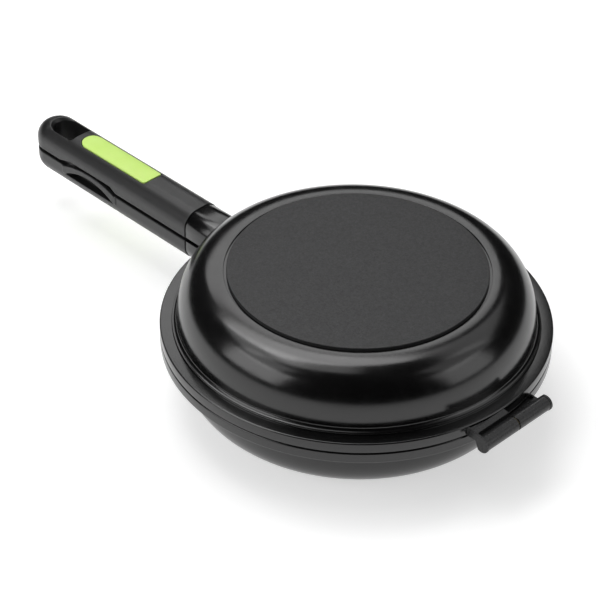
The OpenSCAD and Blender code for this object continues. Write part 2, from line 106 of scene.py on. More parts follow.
FLOOR_T = 5.5 * MM
CHANNEL_R = 120 * MM
CHANNEL_W = 2.4 * MM
CHANNEL_D = 1.2 * MM
MOUTH_BREAK = 1.0 * MM
LUG_END = 148 * MM
LUG_W = 18 * MM
LUG_H = 12 * MM
LUG_EDGE = 2 * MM
LUG_CLEAR = 0.15 * MM
ROD_Z = 9.5 * MM
ROD_R = 2.5 * MM
ROD_CLEAR = 0.3 * MM
ROD_DEPTH = 20 * MM

# Handle
HANDLE_FACE = 1.4 * MM
GRIP_H = 19.8 * MM
GRIP_SIDE_R = 12.2 * MM
GRIP_FLAT = 7.6 * MM
GRIP_HALF_W = GRIP_FLAT / 2 + GRIP_SIDE_R
EDGE_BREAK = 0.5 * MM
RIM_CLEAR = 0.4 * MM
FERRULE_X = 152.4 * MM
FERRULE_STEP = 0.4 * MM  # by which the ferrule lies under the grip's surface
RIM_CUT_LOW = -10 * MM  # ends of the cutters that fit the ferrule to the rim and the bead
BEAD_CUT_LOW = -12 * MM
BEAD_CUT_TOP = 40 * MM
GRIP_X = 153.2 * MM
TIP_X = 325.5 * MM
HOLE_R = 9.65 * MM
HOLE_X = 301.0 * MM
HOLE_END_X = 283.5 * MM
HOLE_CORNER = 2.5 * MM
HOLE_BEVEL = 2.2 * MM
HOLE_STEPS = 48
INLAY_R = 8.5 * MM
INLAY_X = 269.4 * MM
INLAY_END_X = 203.4 * MM
INLAY_CORNER = 3 * MM
INLAY_FLOOR = 17.9 * MM
INLAY_PROUD = 0.3 * MM
INLAY_GAP = 0.5 * MM
INLAY_CROWN_X = TIP_X - 30 * MM  # end of the bar that crowns the inlay, past its round end
INLAY_STEPS = 32
SCOOP_X = 257.5 * MM
SCOOP_LEN = 56 * MM
SCOOP_H = 8.1 * MM
SCOOP_Z = 8.5 * MM
SCOOP_D = 6 * MM
SCOOP_SLOPE = math.radians(30)
TAB_LEN = 60 * MM
TAB_SPAN = 56 * MM
TAB_REACH = 3.6 * MM
TAB_T = 3.5 * MM
TAB_CLEAR = 1.4 * MM
TAB_SIDE_CLEAR = 0.3 * MM  # less than in the solid, so that no light shows beside the tab
LIP_T = 0.7 * MM  # by which the brow stands out of the handle's side
NOTCH_OUT = 33.5 * MM
NOTCH_OUT_SLOPE = 13 * MM
NOTCH_IN = 29.7 * MM
NOTCH_IN_SLOPE = 6.4 * MM
MAGNET_X = 176.2 * MM
MAGNET_R = 6 * MM
MAGNET_T = 3 * MM
HEAD_R = 5.6 * MM  # of the pocket for the tie rod's head
HEAD_POCKET_X = 279.1 * MM
GRIP_VOXEL = 0.36 * MM
GRIP_KEPT = 0.4  # share of the faces that the reduction keeps
INLAY_VOXEL = 0.24 * MM
INLAY_KEPT = 0.5

# Hinge
HINGE_X = 140.25 * MM
BARREL_R = 5.2 * MM
KNUCKLE_LEN = 31 * MM
KNUCKLE_Y = 0.45 * MM
BARREL_BREAK = 0.3 * MM
BORE_R = 2.45 * MM
PIN_Y = 27.5 * MM
LEAF_H = 7 * MM
LEAF_Z = 0.8 * MM
LEAF_W = 4.1 * MM
LEAF_FALL = 0.8 * MM
LEAF_GAP = 0.2 * MM
LEAF_ROOT = 0.2 * MM
LEAF_VALLEY = 3 * MM
LEAF_END_R = BORE_R + 0.3 * MM  # in the wall of the barrel
PLATE_T = 1.5 * MM
PLATE_IN = 7.5 * MM
PLATE_RIM = 0.3 * MM  # by which the end plate stands out round the barrel
PLATE_WRAP = 30  # degrees past the lowest point of the barrel, in the half frame
TONGUE_T = 3 * MM
TONGUE_Z = 4.1 * MM
TONGUE_IN = 7.5 * MM
TONGUE_INSET = 2.5 * MM
SCREW_X = 125.65 * MM
SCREW_YS = (10.45 * MM, 21 * MM)
SCREW_R = 1.5 * MM
SCREW_HEAD_R = 2.6 * MM
SCREW_END_Z = 5.2 * MM
SCREW_SUNK = 0.05 * MM
SCREW_CLEAR = 0.06 * MM
SCREW_HOLE_Z = 3 * MM
SCREW_EDGE = 0.1 * MM
SCREW_BEVEL = 0.06 * MM
SCREW_TURN = 400  # radians per metre along the hinge: the two screws stop at different angles
CROSS_R = 1.5 * MM
CROSS_HALF_W = 0.3 * MM
CROSS_D = 0.9 * MM

# Photograph, as fitted: where the camera stood, what it was aimed at, and its lens
CAMERA_AT = Vector((0.81601, -0.86672, 0.96087))
CAMERA_AIM = Vector((-0.03376, -0.0196, 0.06185))
CAMERA_ROLL = math.radians(0.8145)
CAMERA_LENS = 134.56
SENSOR = 36.0
CAMERA_CLIP = 0.01

# Materials: nearly all values of a noise lie in this span
NOISE_SPAN = (0.3, 0.7)
MARK_SHADE = 0.82  # the darkest marks of a bare metal, as a share of its colour
MARK_ROUGH = 0.12  # by how much its roughness varies with the marks

# Light: the world's strength falls from the third to the fourth value as a direction turns
# towards the camera's side, between the first two cosines
WORLD_FADE = (0.2, 0.75, 0.2, 0.02)
LIGHT_AIM = Vector((0, 0, 0.05))
# Each soft box: name, azimuth and elevation in degrees, distance and size in metres, radiance
SOFT_BOXES = (("key", 160, 64, 1.55, (1.15, 0.85), 3.4),
              ("bridge", 210, 60, 1.6, (0.9, 0.8), 1.4),
              ("top_left", 222, 77, 1.6, (0.8, 0.8), 1.25),
              ("left", 250, 25, 1.6, (1.1, 0.85), 2.5),
              ("upper_left", 243, 46, 1.6, (0.8, 0.6), 1.25),
              ("right", 25, 23, 1.6, (0.9, 1.0), 1.4),
              ("upper_right", 38, 47, 1.6, (1.0, 0.7), 0.65),
              ("right_high", 82, 53, 1.6, (1.1, 0.7), 0.8),
              ("back", 143, 36, 1.9, (1.2, 0.5), 1.85))
# The floor's own grey, and the white it adds where it is seen
FLOOR_COLOUR = 0.72
FLOOR_GLOW = 0.56
FLOOR_ROUGH = 0.9
FLOOR_HALF = 9
FLOOR_DEPTH = 0.02


# ------------------------------------------------------------------ mesh tools

def arc(c, r, a, b, n):
    """Points of an arc in n steps from angle a to angle b in degrees, round c."""
    angles = [math.radians(a + (b - a) * i / n) for i in range(n + 1)]
    return [(c[0] + r * math.cos(t), c[1] + r * math.sin(t)) for t in angles]


def circle(c, r, n):
    """The n points of a full circle."""
    return arc(c, r, 0, 360 - 360 / n, n - 1)


def oval_arc(c, a, b, start, end, n, full=2.0):
    """Points in n steps along the upper side of an oval round c, with half axes a and b. It is
    an ellipse where full is 2, and squarer where it is more."""
    angles = [math.radians(start + (end - start) * i / n) for i in range(n + 1)]
    steps = [(math.cos(t), math.sin(t)) for t in angles]
    return [(c[0] + math.copysign(a * abs(u) ** (2 / full), u), c[1] + b * abs(v) ** (2 / full))
            for u, v in steps]


def chord_radius(chord, height):
    """Radius of the arc that rises by height over a chord."""
    return ((chord / 2) ** 2 + height ** 2) / (2 * height)


def new_object(name, bm):
    """Makes an object of a bmesh, with its normals outwards."""
    bmesh.ops.remove_doubles(bm, verts=bm.verts, dist=MERGE)
    bmesh.ops.recalc_face_normals(bm, faces=bm.faces)
    mesh = bpy.data.meshes.new(name)
    bm.to_mesh(mesh)
    bm.free()
    obj = bpy.data.objects.new(name, mesh)
    bpy.context.scene.collection.objects.link(obj)
    return obj


def lathe(name, profile, segments, inside=None):
    """Turns a closed profile of (radius, z) about Z. Faces of profile steps for which
    inside(step) is true get the second material."""
    bm = bmesh.new()
    rings = []
    for r, z in profile:
        if r < MERGE:
            rings.append([bm.verts.new((0, 0, z))])
            continue
        turns = [2 * math.pi * k / segments for k in range(segments)]
        rings.append([bm.verts.new((r * math.cos(t), r * math.sin(t), z)) for t in turns])
    for i, low in enumerate(rings):
        top = rings[(i + 1) % len(rings)]
        if len(low) == 1 and len(top) == 1:
            continue
        for k in range(segments):
            n = (k + 1) % segments
            ends = [low[k % len(low)], low[n % len(low)], top[n % len(top)], top[k % len(top)]]
            face = bm.faces.new(list(dict.fromkeys(ends)))
            face.material_index = 1 if inside and inside(i) else 0
    return new_object(name, bm)


def prism(name, outline, low, high):
    """Closed prism of an outline of (a, b) points, along the third axis from low to high."""
    bm = bmesh.new()
    bottom = [bm.verts.new((a, b, low)) for a, b in outline]
    top = [bm.verts.new((a, b, high)) for a, b in outline]
    bm.faces.new(bottom)
    bm.faces.new(top)
    for i in range(len(outline)):
        j = (i + 1) % len(outline)
        bm.faces.new([bottom[i], bottom[j], top[j], top[i]])
    return new_object(name, bm)


def box(name, low, high):
    """Box between two opposite corners."""
    outline = [(low[0], low[1]), (high[0], low[1]), (high[0], high[1]), (low[0], high[1])]
    return prism(name, outline, low[2], high[2])


def transform(obj, matrix):
    """Moves or turns the mesh itself."""
    obj.data.transform(matrix)
    return obj


# Section planes: an outline drawn as (y, z) and extruded along X, or drawn as (x, z) along Y
ALONG_X = Matrix(((0, 0, 1, 0), (1, 0, 0, 0), (0, 1, 0, 0), (0, 0, 0, 1)))
ALONG_Y = Matrix(((1, 0, 0, 0), (0, 0, -1, 0), (0, 1, 0, 0), (0, 0, 0, 1)))


def cylinder(name, r, low, high, at, matrix=Matrix.Identity(4), n=BORE_SIDES):
    """Cylinder along Z from low to high, turned by matrix and then moved by at."""
    obj = prism(name, circle((0, 0), r, n), low, high)
    return transform(transform(obj, matrix), Matrix.Translation(at))


def apply_modifiers(obj):
    """Puts what the modifiers make in place of the mesh."""
    bpy.context.view_layer.update()
    depsgraph = bpy.context.evaluated_depsgraph_get()
    mesh = bpy.data.meshes.new_from_object(obj.evaluated_get(depsgraph), depsgraph=depsgraph)
    old = obj.data
    obj.modifiers.clear()
    obj.data = mesh
    bpy.data.meshes.remove(old)
    return obj


def boolean(obj, cutters, operation):
    """Joins or cuts with each cutter in turn, and removes the cutters."""
    for cutter in cutters:
        mod = obj.modifiers.new("cut", "BOOLEAN")
        mod.operation = operation
        mod.solver = "EXACT"
        mod.object = cutter
        apply_modifiers(obj)
        mesh = cutter.data
        bpy.data.objects.remove(cutter)
        bpy.data.meshes.remove(mesh)
    return obj


def soften(obj, voxel, ratio=None):
    """Rounds every edge a little: a fine remesh, a smoothing and, with a ratio, a reduction."""
    mod = obj.modifiers.new("remesh", "REMESH")
    mod.mode = "VOXEL"
    mod.voxel_size = voxel
    mod = obj.modifiers.new("smooth", "SMOOTH")
    mod.factor = SMOOTH_FACTOR
    mod.iterations = SMOOTH_STEPS
    if ratio:
        mod = obj.modifiers.new("reduce", "DECIMATE")
        mod.ratio = ratio
    apply_modifiers(obj)
    obj.data.shade_smooth()
    return obj


def bevel(obj, width):
    """Rounds the sharp edges."""
    mod = obj.modifiers.new("bevel", "BEVEL")
    mod.width = width
    mod.segments = BEVEL_STEPS
    mod.limit_method = "ANGLE"
    mod.angle_limit = BEVEL_ANGLE
    mod.harden_normals = False
    return apply_modifiers(obj)


def shade(obj, sharp):
    """Smooth shading, but for edges that turn by more than sharp degrees."""
    obj.data.shade_smooth()
    obj.data.set_sharp_from_angle(angle=math.radians(sharp))
    return obj


# ------------------------------------------------------------------ materials

def new_material(name, **values):
    """A principled material; values go straight on the shader's sockets."""
    mat = bpy.data.materials.new(name)
    mat.use_nodes = True
    shader = mat.node_tree.nodes["Principled BSDF"]
    for key, value in values.items():
        shader.inputs[key.replace("_", " ")].default_value = value
    return mat, mat.node_tree, shader


def add(tree, kind, **values):
    """Adds a node; a value goes on the socket or else the setting of its name."""
    node = tree.nodes.new(kind)
    for key, value in values.items():
        if key in node.inputs:
            node.inputs[key].default_value = value
        else:
            setattr(node, key, value)
    return node


def noise(tree, scale, detail=3.0, roughness=0.5, stretch=None):
    """Noise in object space; scale is in features per metre, and a stretch under 1 draws them
    out along its axis."""
    node = add(tree, "ShaderNodeTexNoise", Scale=scale, Detail=detail, Roughness=roughness)
    coords = add(tree, "ShaderNodeTexCoord").outputs["Object"]
    if stretch:
        mapping = add(tree, "ShaderNodeMapping", Scale=stretch)
        tree.links.new(coords, mapping.inputs["Vector"])
        coords = mapping.outputs["Vector"]
    tree.links.new(coords, node.inputs["Vector"])
    return node.outputs["Fac"]


def ramp(tree, fac, low, high, a, b):
    """Colour ramp from a at low to b at high."""
    node = add(tree, "ShaderNodeValToRGB")
    tree.links.new(fac, node.inputs["Fac"])
    node.color_ramp.elements[0].position = low
    node.color_ramp.elements[1].position = high
    node.color_ramp.elements[0].color = (*a, 1)
    node.color_ramp.elements[1].color = (*b, 1)
    return node.outputs["Color"]


def map_range(tree, limits, **values):
    """Map range node; limits are its input range and then its output range."""
    node = add(tree, "ShaderNodeMapRange", **values)
    for name, limit in zip(("From Min", "From Max", "To Min", "To Max"), limits):
        node.inputs[name].default_value = limit
    return node


def spread(tree, fac, low, high):
    """Maps a noise value to the range low..high."""
    node = map_range(tree, (*NOISE_SPAN, low, high))
    tree.links.new(fac, node.inputs["Value"])
    return node.outputs["Result"]


def bump(tree, shader, height, strength, distance):
    """Fine relief; distance is its depth in metres."""
    node = add(tree, "ShaderNodeBump", Strength=strength, Distance=distance)
    tree.links.new(height, node.inputs["Height"])
    tree.links.new(node.outputs["Normal"], shader.inputs["Normal"])


def coating(name, grain, span, tones, rough_grain, rough, relief, relief_grain=None, **values):
    """Coated or moulded surface. The noise grain blends the two tones over span, rough_grain
    varies the roughness within rough, and relief_grain, or else grain, is a relief given as
    (strength, depth). The grains hold what noise() needs: a scale, and perhaps a detail and a
    roughness."""
    mat, tree, shader = new_material(name, **values)
    link = tree.links.new
    tone = noise(tree, *grain)
    link(ramp(tree, tone, *span, *tones), shader.inputs["Base Color"])
    link(spread(tree, noise(tree, rough_grain), *rough), shader.inputs["Roughness"])
    height = noise(tree, *relief_grain) if relief_grain else tone
    bump(tree, shader, height, *relief)
    return mat


def enamel():
    """Glossy black enamel with a slight orange peel."""
    return coating("enamel_black", grain=(2600, 1), span=(0.42, 0.7),
                   tones=((0.003, 0.003, 0.0032), (0.007, 0.007, 0.007)),
                   rough_grain=90, rough=(0.17, 0.22),
                   relief_grain=(420, 2), relief=(0.04, 0.0004), IOR=1.59)


def nonstick():
    """Dark non-stick coating with fine lighter flecks."""
    return coating("nonstick_dark", grain=(1500, 2), span=(0.6, 0.68),
                   tones=((0.017, 0.017, 0.018), (0.075, 0.075, 0.078)),
                   rough_grain=700, rough=(0.32, 0.44),
                   relief_grain=(1300, 2), relief=(0.12, 0.0002), IOR=1.45)


def disc_coat():
    """Matt dark grey coating of the base discs, with a fine grain."""
    return coating("disc_matt", grain=(1100, 4, 0.7), span=(0.35, 0.68),
                   tones=((0.018, 0.018, 0.0186), (0.037, 0.037, 0.038)),
                   rough_grain=500, rough=(0.52, 0.66), relief=(0.35, 0.0002), IOR=1.45)


def ferrule_gloss():
    """High gloss black of the ferrules, of one even colour."""
    mat, tree, shader = new_material("ferrule_gloss", Base_Color=(0.003, 0.003, 0.0032, 1), IOR=1.6)
    tree.links.new(spread(tree, noise(tree, 120), 0.17, 0.22), shader.inputs["Roughness"])
    bump(tree, shader, noise(tree, 300, 2), 0.03, 0.0003)
    return mat


def grip_plastic():
    """Matt moulded plastic of the grips, with a fine spark-eroded texture."""
    return coating("grip_matt", grain=(1800, 3, 0.6), span=NOISE_SPAN,
                   tones=((0.009, 0.009, 0.0093), (0.014, 0.014, 0.0145)),
                   rough_grain=260, rough=(0.34, 0.42), relief=(0.18, 0.00015), IOR=1.54)


def silicone():
    """Lime green soft inlay."""
    return coating("inlay_lime", grain=(60,), span=NOISE_SPAN,
                   tones=((0.60, 0.86, 0.19), (0.64, 0.89, 0.23)),
                   rough_grain=400, rough=(0.42, 0.52),
                   relief_grain=(1500, 2), relief=(0.08, 0.0002), IOR=1.42,
                   Subsurface_Weight=0.15, Subsurface_Scale=0.002, Subsurface_Radius=(0.6, 1.0, 0.3))


def hinge_satin():
    """Satin dark grey finish of the hinge."""
    return coating("hinge_satin", grain=(2200, 2), span=(0.35, 0.7),
                   tones=((0.014, 0.014, 0.0145), (0.030, 0.030, 0.031)),
                   rough_grain=300, rough=(0.24, 0.31),
                   relief_grain=(1500, 2), relief=(0.06, 0.0002), Metallic=0.25, IOR=1.5)


def metal(name, colour, rough, stretch):
    """Bare metal with fine marks, which stretch can draw out along an axis."""
    mat, tree, shader = new_material(name, Metallic=1.0)
    link = tree.links.new
    marks = noise(tree, 900, 3, 0.6, stretch)
    dark = tuple(c * MARK_SHADE for c in colour)
    link(ramp(tree, marks, *NOISE_SPAN, dark, colour), shader.inputs["Base Color"])
    link(spread(tree, marks, rough, rough + MARK_ROUGH), shader.inputs["Roughness"])
    bump(tree, shader, marks, 0.08, 0.0001)
    return mat


def zinc_steel():
    """Zinc plated steel of the rods, their washers, the screws and the pin."""
    return metal("steel_zinc", colour=(0.62, 0.63, 0.65), rough=0.28, stretch=(0.1, 1, 1))


def magnet_nickel():
    """Nickel plating of the magnets."""
    return metal("magnet_nickel", colour=(0.66, 0.64, 0.61), rough=0.22, stretch=(1, 1, 1))


def washer_brass():
    """Brass of the washer between the knuckles, its colour darkened as painted shade for the narrow gap
    it sits in.
    """
    # brass colour darkened: painted shade of the gap between the knuckles
    return metal("washer_brass", colour=(0.22, 0.18, 0.11), rough=0.36, stretch=(1, 0.2, 1))


# ------------------------------------------------------------------ placing

def place(obj, half, suffix, mats, node):
    """Puts a copy of a half frame piece in the upper or lower pan."""
    matrix = Matrix.Translation((0, 0, SEAM))
    if half == "lower":
        matrix = matrix @ Matrix.Rotation(math.pi, 4, "X")
    copy = bpy.data.objects.new(f"{half}_{suffix}", obj.data.copy())
    copy.data.name = copy.name
    copy.data.transform(matrix)
    while len(copy.data.materials) < len(mats):
        copy.data.materials.append(None)
    for i, mat in enumerate(mats):
        copy.data.materials[i] = mat
    bpy.context.scene.collection.objects.link(copy)
    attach(copy, half)
    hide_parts(f"{half}_{node}")


def place_both(obj, suffix, mats, node):
    """Puts a half frame piece in both pans, in place of their CAD nodes."""
    for half in ("lower", "upper"):
        place(obj, half, suffix, mats, node)
    mesh = obj.data
    bpy.data.objects.remove(obj)
    bpy.data.meshes.remove(mesh)


def dress(node, mat):
    """Gives a carried-over CAD node its material."""
    obj = frame["nodes"][node]
    obj.data.materials.clear()
    obj.data.materials.append(mat)


# ------------------------------------------------------------------ pan

def pan_profile():
    """Closed radial section of the casting and the first step of it that is inside."""
    base_z = SEAM - DISC_PROUD
    seat_z = SEAM - DISC_T
    floor_z = base_z - FLOOR_T
    shoulder_c = DISC_R + GROOVE_W + BASE_RIM_W
    bead_r = RIM_R - LEDGE_W
    bead_z = RIM_T + BEAD_H
    cove_r = bead_r - BEAD_W - WALL_R
    shoulder_z = bead_z + cove_r + WALL_H
    inner_r = WALL_R - WALL_T
    groove_r = DISC_R + GROOVE_W
    groove_z = base_z - GROOVE_D
    small = SMALL_EDGE
    foot_out, foot_up = BEAD_FOOT
    half_w = CHANNEL_W / 2
    points = [(inner_r + MOUTH_BREAK, FACE_Z)]
    points += oval_arc((CHANNEL_R, FACE_Z), half_w, CHANNEL_D, 180, 0, 10)
    points += arc((RIM_R - RIM_EDGE, FACE_Z + RIM_EDGE), RIM_EDGE, -90, 0, 8)
    points += arc((RIM_R - RIM_EDGE, RIM_T - RIM_EDGE), RIM_EDGE, 0, 90, 8)
    points += [(bead_r + small, RIM_T), (bead_r + small * foot_out, RIM_T + small * foot_up)]
    points += arc((bead_r - small, bead_z - small), small, 0, 90, 4)
    points += arc((bead_r - BEAD_W, bead_z + cove_r), cove_r, 270 - SHORT, 180, 14)
    points += oval_arc((shoulder_c, shoulder_z), WALL_R - shoulder_c, base_z - shoulder_z, 0, 90, 72,
                       SHOULDER_FULL)
    points += arc((groove_r + small, base_z - small), small, 90, 180, 4)
    points += [(groove_r, groove_z), (DISC_R, groove_z), (DISC_R, seat_z), (0, seat_z)]
    first_inside = len(points) - 1
    points += [(0, floor_z)]
    points += oval_arc((shoulder_c, shoulder_z), inner_r - shoulder_c, floor_z - shoulder_z, 90, 0, 48,
                       SHOULDER_FULL)
    points += arc((inner_r + MOUTH_BREAK, FACE_Z + MOUTH_BREAK), MOUTH_BREAK, 180, 270 - SHORT, 6)
    return points, first_inside


def rounded_bar(name, half_w, half_h, edge, x1, x2):
    """Bar along X from x1 to x2 with a rounded rectangular section, round the tie rod."""
    w = half_w - edge
    h = half_h - edge
    outline = (arc((w, h), edge, 0, 90, 6) + arc((-w, h), edge, 90, 180, 6)
               + arc((-w, -h), edge, 180, 270, 6) + arc((w, -h), edge, 270, 360, 6))
    return transform(prism(name, outline, x1, x2), Matrix.Translation((0, 0, ROD_Z)) @ ALONG_X)


def pan():
    """Casting with its handle lug, and the slot, screw holes and bore that take other pieces."""
    points, first_inside = pan_profile()
    obj = lathe("pan", points, PAN_SIDES, inside=lambda i: i > first_inside)
    # two material slots, outside and inside, that the booleans keep
    obj.data.materials.append(None)
    obj.data.materials.append(None)
    lug = rounded_bar("lug", LUG_W / 2, LUG_H / 2, LUG_EDGE, -LUG_END, WALL_T / 2 - WALL_R)
    boolean(obj, [lug], "UNION")
    clear = SEAT_CLEAR
    low_z = TONGUE_Z - TONGUE_T / 2 - clear
    high_z = TONGUE_Z + TONGUE_T / 2 + clear
    slot = box("slot", (RIM_R - TONGUE_IN - clear, TONGUE_INSET - KNUCKLE_LEN - clear, low_z),
               (RIM_R + NEAR, -KNUCKLE_Y - TONGUE_INSET + clear, high_z))
    bore = cylinder("bore", ROD_R, -LUG_END - MM, -LUG_END + ROD_DEPTH, (0, 0, ROD_Z), ALONG_X)
    cutters = [slot, bore] + [screw_hole(y) for y in SCREW_YS]
    boolean(obj, cutters, "DIFFERENCE")
    return shade(obj, sharp=32)


def screw_hole(y):
    """Countersunk cutter for one screw, from the seam face up into the tongue's slot."""
    depth = SCREW_HEAD_R - SCREW_R
    head_r = SCREW_HEAD_R + SCREW_CLEAR
    r = SCREW_R + SCREW_CLEAR
    profile = [(0, -MM), (head_r, -MM), (head_r, FACE_Z), (r, FACE_Z + depth),
               (r, SCREW_HOLE_Z), (0, SCREW_HOLE_Z)]
    obj = lathe("hole", profile, SCREW_HOLE_SIDES)
    return transform(obj, Matrix.Translation((SCREW_X, -y, 0)))


def base_disc():
    """Disc on the outside of the base, with a rounded edge."""
    r = DISC_R - SEAT_CLEAR
    seat_z = SEAM - DISC_T
    profile = [(0, seat_z), (r, seat_z)]
    profile += arc((r - DISC_EDGE, SEAM - DISC_EDGE), DISC_EDGE, 0, 90, 8)
    profile += [(r * part, SEAM) for part in DISC_RINGS] + [(0, SEAM)]
    return shade(lathe("base_disc", profile, PAN_SIDES), sharp=40)


# ------------------------------------------------------------------ handle

def handle_side(grow=0.0):
    """One side of the handle's section, as (y, z), with a rounded edge towards the seam."""
    corner = (GRIP_HALF_W + grow - EDGE_BREAK, HANDLE_FACE + EDGE_BREAK)
    return (arc(corner, EDGE_BREAK, -90, 0, 4)
            + arc((GRIP_FLAT / 2, GRIP_H - GRIP_SIDE_R), GRIP_SIDE_R + grow, 0, 90, 28))


def handle_bar(name, x1, x2, grow=0.0):
    """Bar with the handle's section, from -x1 out to -x2."""
    side = handle_side(grow)
    outline = side + [(-y, z) for y, z in reversed(side)]
    return transform(prism(name, outline, -x2, -x1), ALONG_X)


def handle_tip(name):
    """Round end of the handle: its section, turned about an upright axis."""
    profile = [(0, HANDLE_FACE)] + handle_side() + [(0, GRIP_H)]
    return transform(lathe(name, profile, BARREL_SIDES), Matrix.Translation((GRIP_HALF_W - TIP_X, 0, 0)))


def rounded_outline(x_round, r, x_end, corner, steps):
    """Outline with a round end at -x_round and small corners at -x_end, as (x, y)."""
    c = corner
    return (arc((-x_round, 0), r, 90, 270, steps) + arc((-x_end - c, -r + c), c, 270, 360, 8)
            + arc((-x_end - c, r - c), c, 0, 90, 8))


def hanging_hole():
    """Cutters for the hole: an upright prism, and the bevel of its outer end and sides."""
    outline = rounded_outline(HOLE_X, HOLE_R, HOLE_END_X, HOLE_CORNER, HOLE_STEPS)
    r = HOLE_R
    low = GRIP_H - HOLE_BEVEL
    cone = lathe("cone", [(0, low), (r, low), (2 * r, low + r), (0, low + r)], BARREL_SIDES)
    transform(cone, Matrix.Translation((-HOLE_X, 0, 0)))
    sides = [(-r, low), (r, low), (2 * r, low + r), (-2 * r, low + r)]
    bevels = transform(prism("bevel", sides, -HOLE_X, -HOLE_END_X - HOLE_CORNER), ALONG_X)
    return [prism("hole", outline, -NEAR, FAR), cone, bevels]


def scoop():
    """Cutter for the finger scoop: flat towards the base, with a leaning arch towards the seam."""
    crown = SCOOP_Z - SCOOP_H
    r = chord_radius(SCOOP_LEN, SCOOP_H * math.cos(SCOOP_SLOPE))
    obj = prism("scoop", circle((0, r), r, SCOOP_SIDES), -FAR, FAR)
    lean = Matrix.Rotation(math.pi / 2 - SCOOP_SLOPE, 4, "X")
    transform(obj, Matrix.Translation((-SCOOP_X, GRIP_HALF_W, crown)) @ lean)
    limit = box("limit", (-SCOOP_X - SCOOP_LEN, GRIP_HALF_W - SCOOP_D, -SCOOP_H),
                (-SCOOP_X + SCOOP_LEN, GRIP_HALF_W + WIDE, SCOOP_Z))
    return boolean(obj, [limit], "INTERSECT")


def slab_y(name, outline, y1, y2):
    """Outline drawn as (x, z), standing between y1 and y2."""
    return transform(prism(name, outline, -y2, -y1), ALONG_Y)


def tab():
    """Arched brow over the scoop, which crosses the seam as a locating tab."""
    r = chord_radius(TAB_SPAN, TAB_REACH + HANDLE_FACE)
    half = math.degrees(math.asin(TAB_LEN / 2 / r))
    outline = arc((-SCOOP_X, r - TAB_REACH), r, 270 - half, 270 + half, 48)
    top = GRIP_H - GRIP_SIDE_R
    outline += [(TAB_LEN / 2 - SCOOP_X, top), (-TAB_LEN / 2 - SCOOP_X, top)]
    tab_y = GRIP_HALF_W + LIP_T
    return slab_y("tab", outline, tab_y - TAB_T, tab_y)


def notch():
    """Cutter for the recess that takes the other half's tab."""
    top = TAB_REACH + TAB_CLEAR
    outline = [(-NOTCH_OUT, -MM), (-NOTCH_OUT, HANDLE_FACE), (NOTCH_OUT_SLOPE - NOTCH_OUT, top),
               (NOTCH_IN - NOTCH_IN_SLOPE, top), (NOTCH_IN, HANDLE_FACE), (NOTCH_IN, -MM)]
    outline = [(x - SCOOP_X, z) for x, z in outline]
    return slab_y("notch", outline, -FAR, -(GRIP_HALF_W + LIP_T - TAB_T - TAB_SIDE_CLEAR))


def grip():
    """Moulded half handle with its hanging hole, scoop, tab and notch, and its bores."""
    obj = handle_bar("grip", GRIP_X, TIP_X - GRIP_HALF_W)
    boolean(obj, [handle_tip("tip"), tab()], "UNION")
    outline = rounded_outline(INLAY_X, INLAY_R + INLAY_GAP, INLAY_END_X - INLAY_GAP, INLAY_CORNER,
                              INLAY_STEPS)
    pocket = prism("pocket", outline, INLAY_FLOOR, FAR)
    bore = cylinder("bore", ROD_R + ROD_CLEAR, -HOLE_END_X - MM, -GRIP_X + MM, (0, 0, ROD_Z), ALONG_X)
    head = cylinder("head", HEAD_R, -HOLE_END_X - 2 * MM, -HEAD_POCKET_X, (0, 0, ROD_Z), ALONG_X)
    magnet = cylinder("magnet", MAGNET_R + SEAT_CLEAR, -MM, HANDLE_FACE + MAGNET_T, (-MAGNET_X, 0, 0))
    boolean(obj, hanging_hole() + [pocket, bore, head, magnet, scoop(), notch()], "DIFFERENCE")
    return soften(obj, GRIP_VOXEL, GRIP_KEPT)


def inlay():
    """Soft inlay, crowned like the grip and a little proud of it."""
    outline = rounded_outline(INLAY_X, INLAY_R, INLAY_END_X, INLAY_CORNER, INLAY_STEPS)
    obj = prism("inlay", outline, INLAY_FLOOR, FAR)
    boolean(obj, [handle_bar("crown", GRIP_X, INLAY_CROWN_X, INLAY_PROUD)], "INTERSECT")
    return soften(obj, INLAY_VOXEL, INLAY_KEPT)


def ferrule():
    """Collar between pan and grip, hollow for the lug and cut to the rim and the bead."""
    obj = handle_bar("ferrule", WALL_R, FERRULE_X, -FERRULE_STEP)
    hollow = rounded_bar("hollow", LUG_W / 2 + LUG_CLEAR, LUG_H / 2 + LUG_CLEAR, LUG_EDGE + LUG_CLEAR,
                         -LUG_END - LUG_CLEAR, NEAR - WALL_R)
    rim = cylinder("rim", RIM_R + RIM_CLEAR, RIM_CUT_LOW, RIM_T + RIM_CLEAR, (0, 0, 0), n=PAN_SIDES)
    bead = cylinder("bead", RIM_R - LEDGE_W + RIM_CLEAR, BEAD_CUT_LOW, BEAD_CUT_TOP, (0, 0, 0),
                    n=PAN_SIDES)
    bore = cylinder("bore", ROD_R + ROD_CLEAR, -FERRULE_X - MM, -LUG_END + MM, (0, 0, ROD_Z), ALONG_X)
    boolean(obj, [hollow, rim, bead, bore], "DIFFERENCE")
    return shade(bevel(obj, SMALL_EDGE), sharp=30)


# ------------------------------------------------------------------ hinge

def leaf():
    """Leaf from the rim out to the barrel, with a valley before the barrel."""
    r = BARREL_R - LEAF_ROOT
    x = RIM_R + LEAF_GAP
    end_x = x + LEAF_W
    points = [(x, LEAF_Z), (x, LEAF_H), (end_x - LEAF_W / 4, LEAF_H - LEAF_FALL / 2),
              (end_x, LEAF_H - LEAF_FALL), (end_x + LEAF_GAP, LEAF_VALLEY),
              (HINGE_X - math.sqrt(r ** 2 - LEAF_VALLEY ** 2), LEAF_VALLEY)]
    points += arc((HINGE_X, 0), LEAF_END_R, 90, -90, 4)
    points += [(HINGE_X - r, -LEAF_Z), (HINGE_X - r - LEAF_GAP, LEAF_Z)]
    return slab_y("leaf", points, PLATE_T / 2 - KNUCKLE_LEN, -KNUCKLE_Y)


